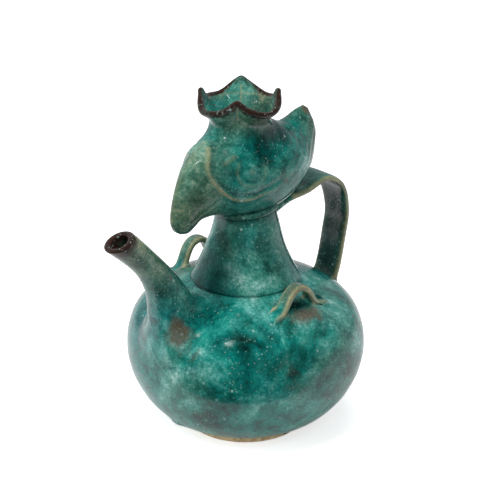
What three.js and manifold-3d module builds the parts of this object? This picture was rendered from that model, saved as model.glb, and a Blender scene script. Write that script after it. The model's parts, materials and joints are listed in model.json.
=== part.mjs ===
// A glazed pottery ewer with a phoenix head, built as the potter built it: thrown or moulded
// pieces, each a hollow or solid clay body of its own, set on each other along thin slip joints.
// Millimetres. +Z is up, +X points to the spout, -X to the handle, and the origin is the middle
// of the foot's flat underside.
import * as THREE from 'three';
import { mergeVertices } from 'three/addons/utils/BufferGeometryUtils.js';
import Module from 'manifold-3d';

const wasm = await Module();
wasm.setup();

// Driving dimensions
const slipGap = 0.3;
const turnSides = 48;

const footRadius = 32;
const footHeight = 5.5;
const footBevel = 0.8;

const bellyRadius = 64.2;
const bellyHeight = 46.4;
const bellyWall = 4;
const floorThickness = 5;
const seatRadius = 34.5;
const underSweep = 23.5;
const underReach = 8.5;
const underDip = 1.2;
const shoulderSweep = 29.2;
const shoulderReach = 9;
const shoulderDrop = 4.3;
const shoulderRadius = 29.8;
const shoulderHeight = 84.3;

const neckWall = 4;
const neckFootRadius = 29.4;
const neckTopRadius = 16;
const neckHeight = 38.6;
const neckWaist = 3.2;

const collarOuterRadius = 17.8;
const collarBandHeight = 3;
const collarTilt = THREE.MathUtils.degToRad(5.5);

const headLength = 98.8;
const headRise = 48.5;
const headHalfWidth = 22.3;
const headWall = 4;
const headPassageRadius = 12;
const headSections = 22;
const headSides = 28;

const crownOffset = 4;
const crownSeatRise = 0.4;
const crownWaistRadius = 15.6;
const crownSkirt = 14;
const crownLobeRadius = 23.2;
const crownTipRadius = 20.6;
const crownLobeRise = 9.8;
const crownTipRise = 18.2;
const crownWall = 2.8;
const crownPoints = 4;
const crownSides = 48;
const crownSteps = 6;

const spoutMouthRadius = 7.6;
const spoutThroatRadius = 7;
const spoutRootRadius = 16.2;
const spoutBoreRadius = 4.5;
const spoutRootBoreRadius = 7.5;
const spoutMouthReach = 85.2;
const spoutMouthHeight = 127.6;
const spoutMouthTilt = THREE.MathUtils.degToRad(24);
const spoutRootReach = 47;
const spoutRootHeight = 64;
const spoutSides = 20;

const strapWidthTop = 22;
const strapWidthLow = 17.5;
const strapThickness = 4.3;
const strapEdgeRound = 1.6;
const strapOuterReach = 67.8;
const strapApexRise = 5.7;
const strapApexReach = 51;
const strapFootRise = 13.6;

const lugSpan = 35;
const lugOffset = 40;
const lugWidth = 7;
const lugThickness = 3.6;
const lugHeight = 92.2;
const farLugRise = 2.5;
const lugPadWidth = 8.6;

// Heights and radii that follow from the driving dimensions
const neckBaseHeight = shoulderHeight + slipGap;
const neckTopHeight = neckBaseHeight + neckHeight;
const neckBoreFoot = neckFootRadius - neckWall;
const neckBoreTop = neckTopRadius - neckWall;
const collarHeight = neckTopHeight + slipGap;
const skullMiddle = collarHeight + headRise / 2;
const crownBaseHeight = collarHeight + headRise + crownSeatRise;
const crownLobeHeight = crownBaseHeight + crownLobeRise;
const crownTipHeight = crownBaseHeight + crownTipRise;
const strapApexHeight = collarHeight + strapApexRise;
const strapFootHeight = bellyHeight + strapFootRise;

// Turns a closed geometry into a solid for cutting, whichever way its faces were wound
function toSolid(geometry) {
  const plain = geometry.index ? geometry.toNonIndexed() : geometry.clone();
  plain.deleteAttribute('normal');
  plain.deleteAttribute('uv');
  const merged = mergeVertices(plain, 1e-4);
  const places = merged.attributes.position.array;
  const corners = merged.index.array;
  const kept = [];
  let volume = 0;
  const a = new THREE.Vector3();
  const b = new THREE.Vector3();
  const c = new THREE.Vector3();
  for (let i = 0; i < corners.length; i += 3) {
    const [p, q, r] = [corners[i], corners[i + 1], corners[i + 2]];
    if (p === q || q === r || r === p) {
      continue;
    }
    a.fromArray(places, 3 * p);
    b.fromArray(places, 3 * q);
    c.fromArray(places, 3 * r);
    volume += a.dot(b.cross(c));
    kept.push(p, q, r);
  }
  if (volume < 0) {
    for (let i = 0; i < kept.length; i += 3) {
      [kept[i + 1], kept[i + 2]] = [kept[i + 2], kept[i + 1]];
    }
  }
  return new wasm.Manifold(new wasm.Mesh({
    numProp: 3,
    vertProperties: new Float32Array(places),
    triVerts: new Uint32Array(kept),
  }));
}

function toGeometry(solid) {
  const mesh = solid.getMesh();
  const geometry = new THREE.BufferGeometry();
  geometry.setAttribute('position', new THREE.BufferAttribute(mesh.vertProperties, 3));
  geometry.setIndex(new THREE.BufferAttribute(mesh.triVerts, 1));
  const open = geometry.toNonIndexed();
  open.computeVertexNormals();
  return open;
}

// Revolves an outline of [radius, height] points about Z
function turned(outline, sides = turnSides) {
  const points = outline.map(([radius, height]) => new THREE.Vector2(radius, height));
  return new THREE.LatheGeometry(points, sides).rotateX(Math.PI / 2);
}

// Skins a stack of closed rings, and closes each end on its middle
function lofted(rings) {
  const count = rings[0].length;
  const places = rings.flat().flatMap((point) => point.toArray());
  const corners = [];
  for (let i = 0; i < rings.length - 1; i += 1) {
    for (let j = 0; j < count; j += 1) {
      const k = (j + 1) % count;
      const [low, lowNext] = [i * count + j, i * count + k];
      const [high, highNext] = [low + count, lowNext + count];
      corners.push(low, lowNext, highNext, low, highNext, high);
    }
  }
  for (const [ring, start, flip] of [[rings[0], 0, true], [rings.at(-1), (rings.length - 1) * count, false]]) {
    const middle = ring.reduce((sum, point) => sum.add(point), new THREE.Vector3());
    middle.divideScalar(count);
    const hub = places.length / 3;
    places.push(...middle.toArray());
    for (let j = 0; j < count; j += 1) {
      const [p, q] = [start + j, start + ((j + 1) % count)];
      corners.push(...(flip ? [hub, q, p] : [hub, p, q]));
    }
  }
  const geometry = new THREE.BufferGeometry();
  geometry.setAttribute('position', new THREE.Float32BufferAttribute(places, 3));
  geometry.setIndex(corners);
  return geometry;
}

// Points of a flat curve pushed sideways, positive to the right of the way it runs
function besideCurve(curve, distance, steps) {
  return Array.from({ length: steps + 1 }, (_, i) => {
    const point = curve.getPoint(i / steps);
    const along = curve.getTangent(i / steps);
    return [point.x + along.y * distance, point.y - along.x * distance];
  });
}

// The belly's outer line, from the foot to the widest line and on to the shoulder
const underCurve = new THREE.CubicBezierCurve(
  new THREE.Vector2(seatRadius, footHeight + slipGap),
  new THREE.Vector2(seatRadius + underReach, footHeight + slipGap - underDip + 1),
  new THREE.Vector2(bellyRadius, bellyHeight - underSweep),
  new THREE.Vector2(bellyRadius, bellyHeight),
);
const shoulderCurve = new THREE.CubicBezierCurve(
  new THREE.Vector2(bellyRadius, bellyHeight),
  new THREE.Vector2(bellyRadius, bellyHeight + shoulderSweep),
  new THREE.Vector2(shoulderRadius + shoulderReach, shoulderHeight - shoulderDrop),
  new THREE.Vector2(shoulderRadius, shoulderHeight),
);

// A solid that fills the body out to a clearance, for trimming what stands on it
function bodyEnvelope(clearance) {
  const under = besideCurve(underCurve, clearance, 8);
  const shoulder = besideCurve(shoulderCurve, clearance, 10).slice(1);
  const top = shoulderHeight + clearance;
  return toSolid(turned([[0, under[0][1]], ...under, ...shoulder, [shoulderRadius - 6, top], [0, top]]));
}

function makeFoot() {
  return toSolid(turned([
    [0, 0],
    [footRadius - footBevel, 0],
    [footRadius, footBevel],
    [footRadius, footHeight],
    [0, footHeight],
  ]));
}

function makeLowerBody() {
  const outer = besideCurve(underCurve, 0, 8);
  const inner = besideCurve(underCurve, -bellyWall, 7).reverse();
  const floor = footHeight + slipGap + floorThickness;
  const bowl = inner.filter(([radius, height]) => height > floor + 0.8);
  const last = bowl.at(-1);
  return toSolid(turned([[0, outer[0][1]], ...outer, ...bowl, [last[0] - 3, floor], [0, floor]]));
}

function makeUpperBody(spoutBore) {
  const outer = besideCurve(shoulderCurve, 0, 10);
  const inner = besideCurve(shoulderCurve, -bellyWall, 8).reverse();
  const opening = inner.filter(([radius]) => radius > neckBoreFoot + 1);
  const rim = [[neckBoreFoot, shoulderHeight], [neckBoreFoot, opening[0][1]]];
  const ring = [...outer, ...rim, ...opening];
  const lift = ([radius, height]) => [radius, Math.max(height, bellyHeight + slipGap)];
  const closed = [...ring.map(lift), lift(ring[0])];
  return toSolid(turned(closed)).subtract(spoutBore);
}

// The neck narrows in a shallow hollow curve, and its top is cut on the collar's slant
const neckCurve = new THREE.QuadraticBezierCurve(
  new THREE.Vector2(neckFootRadius, neckBaseHeight),
  new THREE.Vector2((neckFootRadius + neckTopRadius) / 2 - neckWaist, neckBaseHeight + neckHeight * 0.45),
  new THREE.Vector2(neckTopRadius, neckTopHeight),
);

function collarPlace() {
  const turn = new THREE.Matrix4().makeRotationY(collarTilt);
  return turn.setPosition(0, 0, collarHeight);
}

function aboveCollarSeat(clearance) {
  const block = new THREE.BoxGeometry(90, 90, 60);
  block.translate(0, 0, 30 - clearance);
  return toSolid(block.applyMatrix4(collarPlace()));
}

function neckEnvelope(clearance) {
  const outer = besideCurve(neckCurve, clearance, 6);
  const column = [[0, neckBaseHeight], ...outer, [neckTopRadius + clearance, neckTopHeight + 4]];
  column.push([0, neckTopHeight + 4]);
  return toSolid(turned(column)).subtract(aboveCollarSeat(-clearance));
}

function makeNeck() {
  const outer = besideCurve(neckCurve, 0, 6);
  const inner = besideCurve(neckCurve, -neckWall, 5).reverse();
  const spare = 4;
  const tall = [
    [neckBoreFoot, neckBaseHeight],
    ...outer,
    [neckTopRadius, neckTopHeight + spare],
    [neckBoreTop, neckTopHeight + spare],
    ...inner.filter(([radius, height]) => height > neckBaseHeight + 1 && height < neckTopHeight),
    [neckBoreFoot, neckBaseHeight],
  ];
  return toSolid(turned(tall)).subtract(aboveCollarSeat(slipGap));
}

function collarSolid(inner, outer, low, high) {
  const round = collarBandHeight * 0.3;
  return turned([
    [inner, low],
    [outer - round, low],
    [outer, low + round],
    [outer, high - round],
    [outer - round, high],
    [inner, high],
    [inner, low],
  ]);
}

// The bird's head. Each section runs from a point on the back line to a point on the throat line.
// From the beak's hook, over the skull, to the tip of the crest. Places are shares of the head's
// length along X and of its rise above the collar, and widths are shares of its widest half.
const headSection = [
  { back: [0.470, -0.033], throat: [0.451, -0.047], width: 0.036 },
  { back: [0.508, 0.165], throat: [0.405, -0.019], width: 0.152 },
  { back: [0.472, 0.454], throat: [0.314, 0.035], width: 0.296 },
  { back: [0.389, 0.724], throat: [0.218, 0.031], width: 0.502 },
  { back: [0.238, 0.926], throat: [0.116, -0.060], width: 0.785 },
  { back: [0.051, 1], throat: [-0.010, -0.085], width: 0.987 },
  { back: [-0.132, 0.971], throat: [-0.152, -0.031], width: 1 },
  { back: [-0.253, 0.860], throat: [-0.304, 0.103], width: 0.785 },
  { back: [-0.309, 0.872], throat: [-0.433, 0.299], width: 0.493 },
  { back: [-0.364, 0.938], throat: [-0.492, 0.639], width: 0.247 },
  { back: [-0.415, 0.971], throat: [-0.451, 0.913], width: 0.058 },
];
const onHead = ([along, up]) => new THREE.Vector2(along * headLength, collarHeight + up * headRise);
const backLine = new THREE.SplineCurve(headSection.map(({ back }) => onHead(back)));
const throatLine = new THREE.SplineCurve(headSection.map(({ throat }) => onHead(throat)));
const widthLine = new THREE.SplineCurve(headSection.map(({ width }) => new THREE.Vector2(width * headHalfWidth, 0)));

function headRing(u, inset) {
  const back = backLine.getPoint(u);
  const throat = throatLine.getPoint(u);
  const middle = back.clone().add(throat).multiplyScalar(0.5);
  const half = back.clone().sub(throat).multiplyScalar(0.5);
  half.setLength(half.length() - inset);
  const halfWidth = Math.max(widthLine.getPoint(u).x, 0.6) - inset;
  return Array.from({ length: headSides }, (_, i) => {
    const angle = (2 * Math.PI * i) / headSides;
    const rise = Math.cos(angle);
    return new THREE.Vector3(middle.x + half.x * rise, halfWidth * Math.sin(angle), middle.y + half.y * rise);
  });
}

function headSkin(clearance) {
  return toSolid(lofted(Array.from({ length: headSections + 1 }, (_, i) => headRing(i / headSections, -clearance))));
}

function headBody() {
  const hollow = Array.from({ length: 11 }, (_, i) => headRing(0.3 + 0.44 * (i / 10), headWall));
  const column = (low, high) => turned([[0, low], [headPassageRadius, low], [headPassageRadius, high], [0, high]], 40);
  const passage = column(collarHeight - headPassageRadius, skullMiddle);
  const mouth = column(skullMiddle, crownTipHeight).translate(crownOffset, 0, 0);
  return headSkin(0)
    .subtract(toSolid(lofted(hollow)))
    .subtract(toSolid(passage))
    .subtract(toSolid(mouth));
}

function headHalf(side, strapRoom) {
  const block = new THREE.BoxGeometry(2 * headLength, headLength, 2 * headLength);
  block.translate(0, side * (headLength / 2 + slipGap / 2), skullMiddle);
  const collarSeat = collarSolid(0, collarOuterRadius + slipGap, -headPassageRadius, collarBandHeight + slipGap);
  return headBody()
    .intersect(toSolid(block))
    .subtract(toSolid(collarSeat.applyMatrix4(collarPlace())))
    .subtract(strapRoom);
}

// The crown: a cup with four pointed lips, as a folded flower, on a skirt that sits on the skull
function crownRing(share, wallInset) {
  return Array.from({ length: crownSides }, (_, i) => {
    const angle = (2 * Math.PI * i) / crownSides;
    const lobe = Math.abs(Math.sin((crownPoints / 2) * (angle - Math.PI / crownPoints)));
    const lipRadius = crownTipRadius + (crownLobeRadius - crownTipRadius) * lobe ** 0.8;
    const lipHeight = crownLobeHeight + (crownTipHeight - crownLobeHeight) * (1 - lobe) ** 1.15;
    const open = Math.max(share, 0) ** 1.6;
    const radius = crownWaistRadius + (lipRadius - crownWaistRadius) * open - wallInset;
    const height = crownBaseHeight + (lipHeight - crownBaseHeight) * share;
    return new THREE.Vector3(crownOffset + radius * Math.cos(angle), radius * Math.sin(angle), height);
  });
}

function makeCrown() {
  const outer = Array.from({ length: crownSteps + 1 }, (_, i) => crownRing(i / crownSteps, 0));
  const inner = Array.from({ length: crownSteps + 3 }, (_, i) => crownRing((i - 1) / crownSteps, crownWall));
  const drop = (ring, depth) => ring.map((point) => point.clone().setZ(crownBaseHeight - depth));
  outer.unshift(drop(outer[0], crownSkirt));
  inner[0] = drop(inner[0], crownSkirt + crownWall);
  return toSolid(lofted(outer))
    .subtract(toSolid(lofted(inner)))
    .subtract(headSkin(slipGap));
}

// The spout leaves the shoulder nearly upright and bends out to its mouth
const spoutPath = new THREE.CubicBezierCurve(
  new THREE.Vector2(spoutRootReach, spoutRootHeight),
  new THREE.Vector2(spoutRootReach + 6, spoutRootHeight + 24),
  new THREE.Vector2(spoutMouthReach - 29, spoutMouthHeight - 25),
  new THREE.Vector2(spoutMouthReach, spoutMouthHeight),
);
const spoutTaper = new THREE.SplineCurve([
  new THREE.Vector2(0, spoutRootRadius),
  new THREE.Vector2(0.25, spoutRootRadius * 0.8),
  new THREE.Vector2(0.5, spoutThroatRadius + 2.5),
  new THREE.Vector2(0.78, spoutThroatRadius),
  new THREE.Vector2(1, spoutMouthRadius),
]);

function spoutRing(u, radius, overrun = 0) {
  const point = spoutPath.getPoint(THREE.MathUtils.clamp(u, 0, 1));
  const along = spoutPath.getTangent(THREE.MathUtils.clamp(u, 0, 1));
  point.addScaledVector(along, overrun);
  return Array.from({ length: spoutSides }, (_, i) => {
    const angle = (2 * Math.PI * i) / spoutSides;
    const side = radius * Math.cos(angle);
    return new THREE.Vector3(point.x - along.y * side, radius * Math.sin(angle), point.y + along.x * side);
  });
}

function spoutBoreSolid() {
  const steps = 9;
  const rings = Array.from({ length: steps + 1 }, (_, i) => {
    const u = i / steps;
    return spoutRing(u, THREE.MathUtils.lerp(spoutRootBoreRadius, spoutBoreRadius, Math.min(1, 1.4 * u)));
  });
  rings.unshift(spoutRing(0, spoutRootBoreRadius, -22));
  rings.push(spoutRing(1, spoutBoreRadius, 12));
  return toSolid(lofted(rings));
}

function makeSpout(bore) {
  const steps = 12;
  const rings = Array.from({ length: steps + 1 }, (_, i) => spoutRing(i / steps, spoutTaper.getPoint(i / steps).y));
  rings.push(spoutRing(1, spoutMouthRadius, 8));
  const cutter = new THREE.BoxGeometry(60, 60, 40);
  cutter.translate(0, 0, 20);
  cutter.rotateY(spoutMouthTilt);
  cutter.translate(spoutMouthReach, 0, spoutMouthHeight);
  return toSolid(lofted(rings))
    .subtract(toSolid(cutter))
    .subtract(bore)
    .subtract(bodyEnvelope(slipGap));
}

// A flat strip that follows a curve in the XZ plane, width along Y
function strip(path, widthAt, thickness, round, steps, across) {
  const rings = Array.from({ length: steps + 1 }, (_, i) => {
    const u = i / steps;
    const point = path.getPointAt(u);
    const along = path.getTangentAt(u);
    const half = widthAt(u) / 2;
    const corner = Math.min(round, thickness / 2);
    const outline = [];
    for (const [sideY, sideN, from] of [[1, 1, 0], [-1, 1, 1], [-1, -1, 2], [1, -1, 3]]) {
      for (let k = 0; k < 3; k += 1) {
        const angle = ((from + k / 2) * Math.PI) / 2;
        outline.push([
          sideY * (half - corner) + corner * Math.cos(angle),
          sideN * (thickness / 2 - corner) + corner * Math.sin(angle),
        ]);
      }
    }
    return outline.map(([y, n]) => new THREE.Vector3(point.x - along.y * n, y + across, point.y + along.x * n));
  });
  return toSolid(lofted(rings));
}

// The strap springs from the back of the neck, runs out under the nape and drops to the shoulder.
// Its points are shares of its reach from the axis and of its drop from the top of the arch.
const strapDrop = strapApexHeight - strapFootHeight;
const onStrap = ([out, down]) => new THREE.Vector2(-strapOuterReach * out, strapApexHeight - strapDrop * down);
const strapPath = new THREE.SplineCurve([
  onStrap([0.148, 0.133]),
  onStrap([0.324, 0.068]),
  onStrap([0.531, 0.046]),
  new THREE.Vector2(-strapApexReach, strapApexHeight),
  onStrap([0.932, 0.116]),
  onStrap([1, 0.347]),
  onStrap([0.970, 0.549]),
  onStrap([0.914, 0.798]),
  onStrap([0.833, 1]),
]);
const strapWidth = (u) => THREE.MathUtils.lerp(strapWidthTop, strapWidthLow, THREE.MathUtils.smoothstep(u, 0.35, 0.7));

function strapSolid(spare) {
  return strip(strapPath, (u) => strapWidth(u) + 2 * spare, strapThickness + 2 * spare, strapEdgeRound, 22, 0);
}

function makeHandle() {
  const collarRoom = collarSolid(0, collarOuterRadius + slipGap, -slipGap, collarBandHeight + slipGap);
  return strapSolid(0)
    .subtract(bodyEnvelope(slipGap))
    .subtract(neckEnvelope(slipGap))
    .subtract(toSolid(collarRoom.applyMatrix4(collarPlace())));
}

// A lug is a short strip bent over a finger, its two ends pressed flat on the shoulder
function makeLug(side, rise) {
  const seat = shoulderHeight - 6.4;
  const arch = lugHeight + rise - lugThickness / 2;
  const path = new THREE.SplineCurve([
    new THREE.Vector2(-lugSpan / 2, seat - 0.6),
    new THREE.Vector2(-lugSpan * 0.33, seat + 1.4),
    new THREE.Vector2(-lugSpan * 0.17, arch - 3),
    new THREE.Vector2(0, arch),
    new THREE.Vector2(lugSpan * 0.17, arch - 3),
    new THREE.Vector2(lugSpan * 0.33, seat + 1.4),
    new THREE.Vector2(lugSpan / 2, seat - 0.6),
  ]);
  const width = (u) => THREE.MathUtils.lerp(lugWidth, lugPadWidth, (2 * Math.abs(u - 0.5)) ** 2);
  return strip(path, width, lugThickness, lugThickness / 2, 16, side * lugOffset)
    .subtract(bodyEnvelope(slipGap))
    .subtract(neckEnvelope(slipGap));
}

const ewer = new THREE.Group();
const glazeGreen = 0x2f9484;

function addPiece(name, solid, colour = glazeGreen, roughness = 0.15) {
  const material = new THREE.MeshStandardMaterial({ color: colour, roughness, metalness: 0 });
  const mesh = new THREE.Mesh(toGeometry(solid), material);
  mesh.name = name;
  ewer.add(mesh);
  return mesh;
}

const spoutBore = spoutBoreSolid();
const strapRoom = strapSolid(slipGap);
addPiece('foot_disc', makeFoot(), 0xc9b08a, 0.85);
addPiece('body_lower', makeLowerBody());
addPiece('body_upper', makeUpperBody(spoutBore));
addPiece('neck', makeNeck());
const collar = addPiece('neck_collar', toSolid(collarSolid(neckBoreTop, collarOuterRadius, 0, collarBandHeight)));
collar.rotation.y = collarTilt;
collar.position.z = collarHeight;
addPiece('head_left_half', headHalf(1, strapRoom));
addPiece('head_right_half', headHalf(-1, strapRoom));
addPiece('crown_mouth', makeCrown());
addPiece('spout', makeSpout(spoutBore));
addPiece('handle', makeHandle());
addPiece('lug_left', makeLug(1, 0));
addPiece('lug_right', makeLug(-1, farLugRise));

export default ewer;
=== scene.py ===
# %% [markdown]
# A glazed pottery ewer with a phoenix head. The frame holds every clay piece at its real size, and
# this script gives each one its fired surface: soft slip joints, the bird's relief and a runny lead
# glaze. First the frame is loaded.

# %% Load the frame
import json
import math

import bmesh
import bpy
import numpy as np
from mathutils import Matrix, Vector
from mathutils.bvhtree import BVHTree

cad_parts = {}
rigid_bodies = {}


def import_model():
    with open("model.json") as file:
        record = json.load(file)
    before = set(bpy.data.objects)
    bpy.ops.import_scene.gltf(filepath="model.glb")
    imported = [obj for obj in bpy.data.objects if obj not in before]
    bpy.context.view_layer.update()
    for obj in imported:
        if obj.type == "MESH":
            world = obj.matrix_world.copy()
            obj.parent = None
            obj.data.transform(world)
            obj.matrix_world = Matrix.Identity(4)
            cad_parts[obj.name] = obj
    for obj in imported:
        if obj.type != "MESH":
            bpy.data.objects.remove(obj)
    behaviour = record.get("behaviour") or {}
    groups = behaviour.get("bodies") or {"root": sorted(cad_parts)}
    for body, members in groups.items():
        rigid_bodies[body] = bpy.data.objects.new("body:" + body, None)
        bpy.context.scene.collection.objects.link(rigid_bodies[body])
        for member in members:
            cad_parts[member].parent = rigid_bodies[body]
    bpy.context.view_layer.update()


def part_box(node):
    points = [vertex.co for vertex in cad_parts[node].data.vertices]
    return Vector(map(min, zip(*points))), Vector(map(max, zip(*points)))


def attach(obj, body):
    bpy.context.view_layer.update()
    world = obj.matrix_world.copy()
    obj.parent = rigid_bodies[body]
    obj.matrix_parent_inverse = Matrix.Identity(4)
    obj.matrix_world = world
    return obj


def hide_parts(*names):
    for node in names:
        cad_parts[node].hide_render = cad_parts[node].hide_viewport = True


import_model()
MM = 0.001

# %% [markdown]
# The camera comes first, because every choice of detail is judged through it. The photograph looks
# down on the ewer from the spout's side with a long lens. A long lens far away keeps the belly round.

# %% Camera
CAMERA_TURN = 48.0
CAMERA_RISE = 23.3
CAMERA_DISTANCE = 1.045
CAMERA_LENS = 141.5
LOOK_HEIGHT = 0.0933
FRAME_SHIFT = (0.0094, 0.0192)


def make_camera():
    turn, rise = math.radians(CAMERA_TURN), math.radians(CAMERA_RISE)
    back = Vector((math.cos(turn) * math.cos(rise), math.sin(turn) * math.cos(rise), math.sin(rise)))
    data = bpy.data.cameras.new("camera")
    data.lens = CAMERA_LENS
    data.sensor_width = 36
    data.shift_x, data.shift_y = FRAME_SHIFT
    camera = bpy.data.objects.new("camera", data)
    camera.location = back * CAMERA_DISTANCE + Vector((0, 0, LOOK_HEIGHT))
    camera.rotation_euler = back.to_track_quat("Z", "Y").to_euler()
    bpy.context.scene.collection.objects.link(camera)
    bpy.context.scene.camera = camera
    return camera


camera = make_camera()
print("camera at", [round(x, 3) for x in camera.location])

# %% [markdown]
# Clay skins are built here as grids of points: rows run along a piece and columns run round it. A
# grid closes on itself round the piece, and a fan of faces closes each end, so every piece is one
# watertight body that could be printed.

# %% Skins from grids


def mesh_object(name, points, faces):
    mesh = bpy.data.meshes.new(name)
    mesh.from_pydata([tuple(p) for p in points], [], faces)
    mesh.validate()
    mesh.update()
    builder = bmesh.new()
    builder.from_mesh(mesh)
    bmesh.ops.remove_doubles(builder, verts=builder.verts, dist=1e-6)
    bmesh.ops.recalc_face_normals(builder, faces=builder.faces)
    builder.to_mesh(mesh)
    builder.free()
    for polygon in mesh.polygons:
        polygon.use_smooth = True
    piece = bpy.data.objects.new(name, mesh)
    bpy.context.scene.collection.objects.link(piece)
    return piece


def grid_faces(rows, columns, capped=True):
    faces = []
    for i in range(rows - 1):
        for j in range(columns):
            k = (j + 1) % columns
            faces.append((i * columns + j, i * columns + k, (i + 1) * columns + k, (i + 1) * columns + j))
    if capped:
        first, last = rows * columns, rows * columns + 1
        for j in range(columns):
            k = (j + 1) % columns
            faces.append((first, k, j))
            faces.append((last, (rows - 1) * columns + j, (rows - 1) * columns + k))
    return faces


def skin(name, grid):
    """A closed skin over a grid of rings, in millimetres."""
    rows, columns = grid.shape[:2]
    points = np.concatenate([grid.reshape(-1, 3), grid[0].mean(0)[None], grid[-1].mean(0)[None]])
    return mesh_object(name, points * MM, grid_faces(rows, columns))


def tree_of(grid):
    """A search tree over a grid's closed skin, for distances in millimetres."""
    rows, columns = grid.shape[:2]
    points = np.concatenate([grid.reshape(-1, 3), grid[0].mean(0)[None], grid[-1].mean(0)[None]])
    builder = bmesh.new()
    corners = [builder.verts.new(p) for p in points]
    for face in grid_faces(rows, columns):
        if len({tuple(np.round(points[i], 5)) for i in face}) > 2:
            try:
                builder.faces.new([corners[i] for i in face])
            except ValueError:
                continue
    bmesh.ops.remove_doubles(builder, verts=builder.verts, dist=1e-4)
    bmesh.ops.recalc_face_normals(builder, faces=builder.faces)
    tree = BVHTree.FromBMesh(builder)
    builder.free()
    return tree


def distance(tree, point):
    """Signed distance to a skin, below zero inside, and the way it grows."""
    spot, normal, _, gap = tree.find_nearest(Vector(point))
    away = Vector(point) - spot
    side = 1.0 if away.dot(normal) >= 0 else -1.0
    slope = normal if gap < 1e-4 else away.normalized() * side
    return side * gap, np.array(slope)


# %% [markdown]
# Two clay pieces are joined with slip, and the potter's finger leaves a soft hollow along the joint.
# A smooth union has just that shape: where two surfaces are nearer than the blend, both give way to
# one rounded surface. Each attached piece gets a thin skirt that follows it out onto its host.

# %% Slip joints


def soft_point(point, host, own, blend, rounds=7):
    """Moves a point onto the smooth union of the host's skin and the piece's own skin."""
    for _ in range(rounds):
        a, slope_a = distance(host, point)
        b, slope_b = distance(own, point)
        share = min(max(0.5 + 0.5 * (b - a) / blend, 0.0), 1.0)
        level = b * (1 - share) + a * share - blend * share * (1 - share)
        slope = slope_a * share + slope_b * (1 - share)
        step = level / max(float(slope @ slope), 0.35)
        point = point - slope * min(max(step, -0.4 * blend), 0.4 * blend)
    return point


def settled(point, host):
    """The nearest point of the host's skin."""
    level, slope = distance(host, point)
    return point - slope * level


def rooted(grid, host, blend, ends, rows=36, skirt=9):
    """Trims a grid that runs into its host, rounds the joint and adds the skirt."""
    own = tree_of(grid)
    count = grid.shape[1]
    level = np.array([[distance(host, p)[0] for p in row] for row in grid])
    columns = []
    for j in range(count):
        start, stop = 0.0, grid.shape[0] - 1.0
        middle = grid.shape[0] // 2
        if "start" in ends:
            i = max(np.flatnonzero(level[:middle, j] < 0), default=0)
            start = i + max(level[i, j] / (level[i, j] - level[i + 1, j]), 0) if level[i, j] < 0 else 0.0
        if "stop" in ends:
            i = middle + min(np.flatnonzero(level[middle:, j] < 0), default=grid.shape[0] - 1 - middle)
            stop = i - max(level[i, j] / (level[i, j] - level[i - 1, j]), 0) if level[i, j] < 0 else float(i)
        share = np.linspace(0, 1, rows)
        places = start + (stop - start) * share
        low = np.clip(np.floor(places).astype(int), 0, grid.shape[0] - 2)
        part = (places - low)[:, None]
        columns.append(grid[low, j] * (1 - part) + grid[low + 1, j] * part)
    body = np.stack(columns, 1)
    parts = [body]
    for end in ends:
        first, second = (body[0], body[1]) if end == "start" else (body[-1], body[-2])
        rings = [[] for _ in range(skirt + 3)]
        centre = first.mean(0)
        for j in range(count):
            _, up = distance(host, first[j])
            around = first[(j + 1) % count] - first[j - 1]
            rise = second[j] - first[j]
            out = np.cross(around, rise)
            out /= max(np.linalg.norm(out), 1e-9)
            spoke = first[j] - centre
            out = out * (1.0 if out @ spoke > 0 else -1.0) + spoke / max(np.linalg.norm(spoke), 1e-9)
            out -= up * (out @ up)
            out /= max(np.linalg.norm(out), 1e-9)
            reach = blend
            while reach < 2.2 * blend and distance(own, settled(first[j] + out * reach, host))[0] < blend:
                reach += 0.08 * blend
            for k in range(1, skirt + 1):
                spot = settled(first[j] + out * reach * k / skirt, host)
                rings[k - 1].append(soft_point(spot, host, own, blend))
            edge = rings[skirt - 1][-1]
            up = distance(host, edge + up * 0.01)[1]
            rings[skirt].append(edge + out * 0.5 - up * 0.12)
            rings[skirt + 1].append(edge + out * 0.6 - up * 0.9)
            rings[skirt + 2].append(edge * 0.5 + centre * 0.5 - up * 1.6)
        stack = np.array(rings)
        parts = [stack[::-1], *parts] if end == "start" else [*parts, stack]
    near = body.copy()
    for end in ends:
        order = range(rows // 2) if end == "start" else range(rows - 1, rows // 2, -1)
        for j in range(count):
            for i in order:
                if distance(host, body[i, j])[0] > blend:
                    break
                near[i, j] = soft_point(body[i, j], host, own, blend)
    parts = [near if p is body else p for p in parts]
    return np.concatenate(parts)


# %% [markdown]
# A wheel-thrown wall is never quite true. Each turned skin gets slow waves of a fraction of a
# millimetre, the trace of the thrower's fingers, strong enough to bend a reflection.

# %% Turned walls


def bezier(points, steps):
    t = np.linspace(0, 1, steps)[:, None]
    a, b, c, d = [np.array(p, float) for p in points]
    return (1 - t) ** 3 * a + 3 * (1 - t) ** 2 * t * b + 3 * (1 - t) * t ** 2 * c + t ** 3 * d


def hand_waves(angle, height):
    slow = np.sin(2 * angle + 0.7 + height * 0.045) * 0.16
    low = np.sin(3 * angle + 2.1 - height * 0.03) * 0.12
    rings = np.sin(height * 0.62 + np.sin(angle + 1) * 0.8) * 0.045
    return slow + low + rings


def turned_grid(line, columns=160, waves=1.0):
    angle = np.linspace(0, 2 * math.pi, columns, endpoint=False)
    rows = []
    for radius, height in line:
        r = radius + waves * hand_waves(angle, height) * min(1.0, radius / 20)
        rows.append(np.stack([r * np.cos(angle), r * np.sin(angle), np.full(columns, height)], 1))
    return np.array(rows)


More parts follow.
